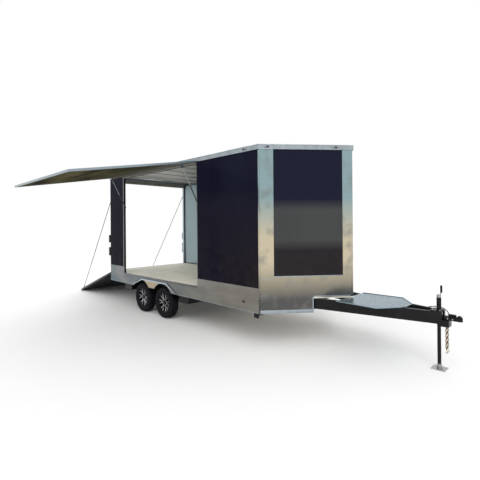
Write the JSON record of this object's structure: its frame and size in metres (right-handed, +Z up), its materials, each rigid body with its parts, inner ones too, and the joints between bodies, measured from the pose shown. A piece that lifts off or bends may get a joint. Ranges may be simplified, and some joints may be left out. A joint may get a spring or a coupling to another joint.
{
  "type": "enclosed cargo trailer",
  "caption": "Enclosed tandem-axle cargo trailer with a V nose, a lifting side door on gas struts, a rear ramp door and a tongue jack, parked with both doors open.",
  "frame": {"origin": "centre of the tongue jack's foot plate, on the ground", "axes": "+X along the trailer towards the coupler, +Y to the street side, +Z up"},
  "size_m": [10.5197, 5.1527, 3.7973],
  "materials": {
    "indigo_panel": "gloss paint",
    "bright_metal": "polished",
    "trim_metal": "satin",
    "black_steel": "gloss paint",
    "ramp_black": "black coating with grit",
    "roof_metal": "mill finish",
    "plywood": "bare sanded",
    "tyre_rubber": "matt",
    "alloy": "black with machined faces",
    "zinc_steel": "zinc plated",
    "chain_steel": "yellow zinc",
    "cable_steel": "stranded",
    "housing_plastic": "moulded",
    "lead_rubber": "matt"
  },
  "bodies": {
    "trailer": {"axle_front": "black_steel", "axle_rear": "black_steel", "coupler": "black_steel", "curb_header": "trim_metal", "drop_beam_front": "black_steel", "drop_beam_rear": "black_steel", "floor_deck": "plywood", "floor_frame": "black_steel", "jack_leg": "zinc_steel", "jack_tube": "black_steel", "main_rail_curb": "black_steel", "main_rail_street": "black_steel", "nose_cap": "bright_metal", "nose_cladding_curb": "bright_metal", "nose_cladding_street": "bright_metal", "nose_wall_curb": "indigo_panel", "nose_wall_street": "indigo_panel", "ramp_cable_curb": "cable_steel", "ramp_cable_street": "cable_steel", "rear_header": "trim_metal", "rear_post_curb": "trim_metal", "rear_post_street": "trim_metal", "rear_sill": "black_steel", "roof": "roof_metal", "roof_air_conditioner": "housing_plastic", "roof_edge": "trim_metal", "safety_chain_curb": "chain_steel", "safety_chain_street": "chain_steel", "skirt_curb": "bright_metal", "skirt_street": "bright_metal", "stabiliser_bracket_curb": "black_steel", "stabiliser_bracket_street": "black_steel", "tongue": "black_steel", "tongue_platform": "bright_metal", "wall_curb_front": "indigo_panel", "wall_curb_rear": "indigo_panel", "wall_street": "indigo_panel", "wiring_lead": "lead_rubber"},
    "side_door": {"side_door": "bright_metal"},
    "strut_cylinder_front": {"strut_cylinder_front": "black_steel"},
    "strut_rod_front": {"strut_rod_front": "zinc_steel"},
    "strut_cylinder_rear": {"strut_cylinder_rear": "black_steel"},
    "strut_rod_rear": {"strut_rod_rear": "zinc_steel"},
    "ramp_door": {"ramp_door": "ramp_black"},
    "stabiliser_curb": {"stabiliser_leg_curb": "black_steel"},
    "stabiliser_street": {"stabiliser_leg_street": "black_steel"},
    "wheel_front_curb": {"tyre_front_curb": "tyre_rubber", "rim_front_curb": "alloy"},
    "wheel_front_street": {"tyre_front_street": "tyre_rubber", "rim_front_street": "alloy"},
    "wheel_rear_curb": {"tyre_rear_curb": "tyre_rubber", "rim_rear_curb": "alloy"},
    "wheel_rear_street": {"tyre_rear_street": "tyre_rubber", "rim_rear_street": "alloy"}
  },
  "joints": [
    {"name": "side_door_hinge", "type": "hinge", "parent": "trailer", "child": "side_door", "pos_m": [-5.543, -1.303, 3.398], "axis": [1, 0, 0], "range_deg": [0, 80.3]},
    {"name": "strut_foot_front", "type": "hinge", "parent": "trailer", "child": "strut_cylinder_front", "pos_m": [-4.053, -1.262, 2.6], "axis": [1, 0, 0], "range_deg": [-34.5, 0.5]},
    {"name": "strut_slide_front", "type": "slide", "parent": "strut_cylinder_front", "child": "strut_rod_front", "axis": [0, -0.4732, 0.881], "range_m": [-0.273, 0.002]},
    {"name": "strut_foot_rear", "type": "hinge", "parent": "trailer", "child": "strut_cylinder_rear", "pos_m": [-7.033, -1.262, 2.6], "axis": [1, 0, 0], "range_deg": [-34.5, 0.5]},
    {"name": "strut_slide_rear", "type": "slide", "parent": "strut_cylinder_rear", "child": "strut_rod_rear", "axis": [0, -0.4732, 0.881], "range_m": [-0.273, 0.002]},
    {"name": "ramp_hinge", "type": "hinge", "parent": "trailer", "child": "ramp_door", "pos_m": [-7.872, 0, 0.845], "axis": [0, 1, 0], "range_deg": [0, 109.26], "deforming": ["ramp_cable_curb", "ramp_cable_street"]},
    {"name": "stabiliser_curb_hinge", "type": "hinge", "parent": "trailer", "child": "stabiliser_curb", "pos_m": [-2.516, -0.8, 0.56], "axis": [1, 0, 0], "range_deg": [0, 90]},
    {"name": "stabiliser_street_hinge", "type": "hinge", "parent": "trailer", "child": "stabiliser_street", "pos_m": [-2.516, 0.8, 0.56], "axis": [-1, 0, 0], "range_deg": [0, 90]},
    {"name": "wheel_front_curb_spin", "type": "hinge", "parent": "trailer", "child": "wheel_front_curb", "pos_m": [-5.305, -1.165, 0.352], "axis": [0, 1, 0], "continuous": true},
    {"name": "wheel_front_street_spin", "type": "hinge", "parent": "trailer", "child": "wheel_front_street", "pos_m": [-5.305, 1.165, 0.352], "axis": [0, 1, 0], "continuous": true},
    {"name": "wheel_rear_curb_spin", "type": "hinge", "parent": "trailer", "child": "wheel_rear_curb", "pos_m": [-6.213, -1.165, 0.352], "axis": [0, 1, 0], "continuous": true},
    {"name": "wheel_rear_street_spin", "type": "hinge", "parent": "trailer", "child": "wheel_rear_street", "pos_m": [-6.213, 1.165, 0.352], "axis": [0, 1, 0], "continuous": true}
  ],
  "couplings": [
    {"joint": "strut_foot_front", "follows": "side_door_hinge", "ratio": -0.42614},
    {"joint": "strut_slide_front", "follows": "side_door_hinge", "m_per_rad": -0.1937},
    {"joint": "strut_foot_rear", "follows": "side_door_hinge", "ratio": -0.42614},
    {"joint": "strut_slide_rear", "follows": "side_door_hinge", "m_per_rad": -0.1937}
  ]
}
